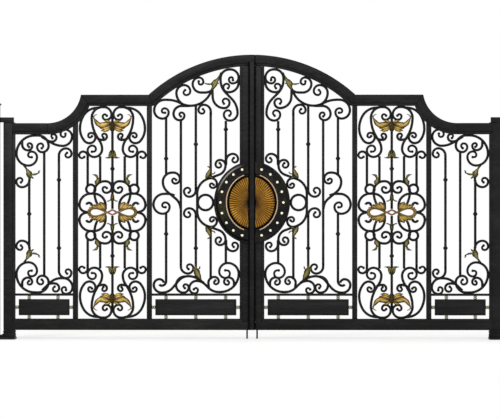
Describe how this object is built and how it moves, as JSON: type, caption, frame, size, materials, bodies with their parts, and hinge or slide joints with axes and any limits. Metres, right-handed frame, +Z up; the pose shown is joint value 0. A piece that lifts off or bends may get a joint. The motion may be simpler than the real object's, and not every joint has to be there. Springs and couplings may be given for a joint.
{
  "type": "double-leaf steel gate",
  "caption": "Double-leaf steel drive gate on pivot posts, with an arched crown, forged scrollwork, gilt leaves, a split sunburst medallion and drop bolts.",
  "frame": {"origin": "under the middle of the left post, on the underside of its ground plate", "axes": "+Z up, +X along the gate to the right as seen from the front, front faces -Y"},
  "size_m": [4.671, 0.234, 2.414],
  "materials": {
    "frame_black": "satin black paint on steel tube",
    "bar_black": "satin black paint on forged bar",
    "ring_black": "semi-gloss black paint",
    "kick_grey": "brushed dark paint on sheet",
    "gilt": "antique gold paint rubbed over black",
    "sunburst_gold": "bronze gold",
    "cream": "cream enamel",
    "bright_steel": "worn steel rod"
  },
  "bodies": {
    "posts": {"left_ground_plate": "frame_black", "left_pivot_foot": "frame_black", "left_post": "frame_black", "left_top_bracket": "frame_black", "right_ground_plate": "frame_black", "right_pivot_foot": "frame_black", "right_post": "frame_black", "right_top_bracket": "frame_black"},
    "left_leaf": {"left_bolt_guides": "frame_black", "left_bottom_rail": "frame_black", "left_cross_bars": "frame_black", "left_gilt_leaves": "gilt", "left_gilt_palmettes": "gilt", "left_gilt_rosette": "gilt", "left_hinge_stile": "frame_black", "left_inner_scrollwork": "bar_black", "left_kick_collars": "gilt", "left_kick_plates": "kick_grey", "left_medallion_bead": "cream", "left_medallion_ring": "ring_black", "left_medallion_studs": "cream", "left_medallion_sunburst": "sunburst_gold", "left_meeting_stile": "frame_black", "left_middle_scrollwork": "bar_black", "left_mullions": "frame_black", "left_outer_scrollwork": "bar_black", "left_top_rail_arch": "frame_black", "left_top_rail_low": "frame_black", "left_top_rail_middle": "frame_black", "left_top_rail_sweep": "frame_black", "closing_strip": "frame_black"},
    "right_leaf": {"right_bolt_guides": "frame_black", "right_bottom_rail": "frame_black", "right_cross_bars": "frame_black", "right_gilt_leaves": "gilt", "right_gilt_palmettes": "gilt", "right_gilt_rosette": "gilt", "right_hinge_stile": "frame_black", "right_inner_scrollwork": "bar_black", "right_kick_collars": "gilt", "right_kick_plates": "kick_grey", "right_medallion_bead": "cream", "right_medallion_ring": "ring_black", "right_medallion_studs": "cream", "right_medallion_sunburst": "sunburst_gold", "right_meeting_stile": "frame_black", "right_middle_scrollwork": "bar_black", "right_mullions": "frame_black", "right_outer_scrollwork": "bar_black", "right_top_rail_arch": "frame_black", "right_top_rail_low": "frame_black", "right_top_rail_middle": "frame_black", "right_top_rail_sweep": "frame_black"},
    "left_drop_bolt": {"left_drop_bolt": "bright_steel"},
    "right_drop_bolt": {"right_drop_bolt": "bright_steel"}
  },
  "joints": [
    {"name": "left_leaf_hinge", "type": "hinge", "parent": "posts", "child": "left_leaf", "pos_m": [0.16, 0, 0.9], "axis": [0, 0, 1], "range_deg": [0, 95]},
    {"name": "right_leaf_hinge", "type": "hinge", "parent": "posts", "child": "right_leaf", "pos_m": [4.281, 0, 0.9], "axis": [0, 0, -1], "range_deg": [0, 95]},
    {"name": "left_bolt_slide", "type": "slide", "parent": "left_leaf", "child": "left_drop_bolt", "axis": [0, 0, 1], "range_m": [0, 0.09]},
    {"name": "right_bolt_slide", "type": "slide", "parent": "right_leaf", "child": "right_drop_bolt", "axis": [0, 0, 1], "range_m": [0, 0.09]}
  ]
}
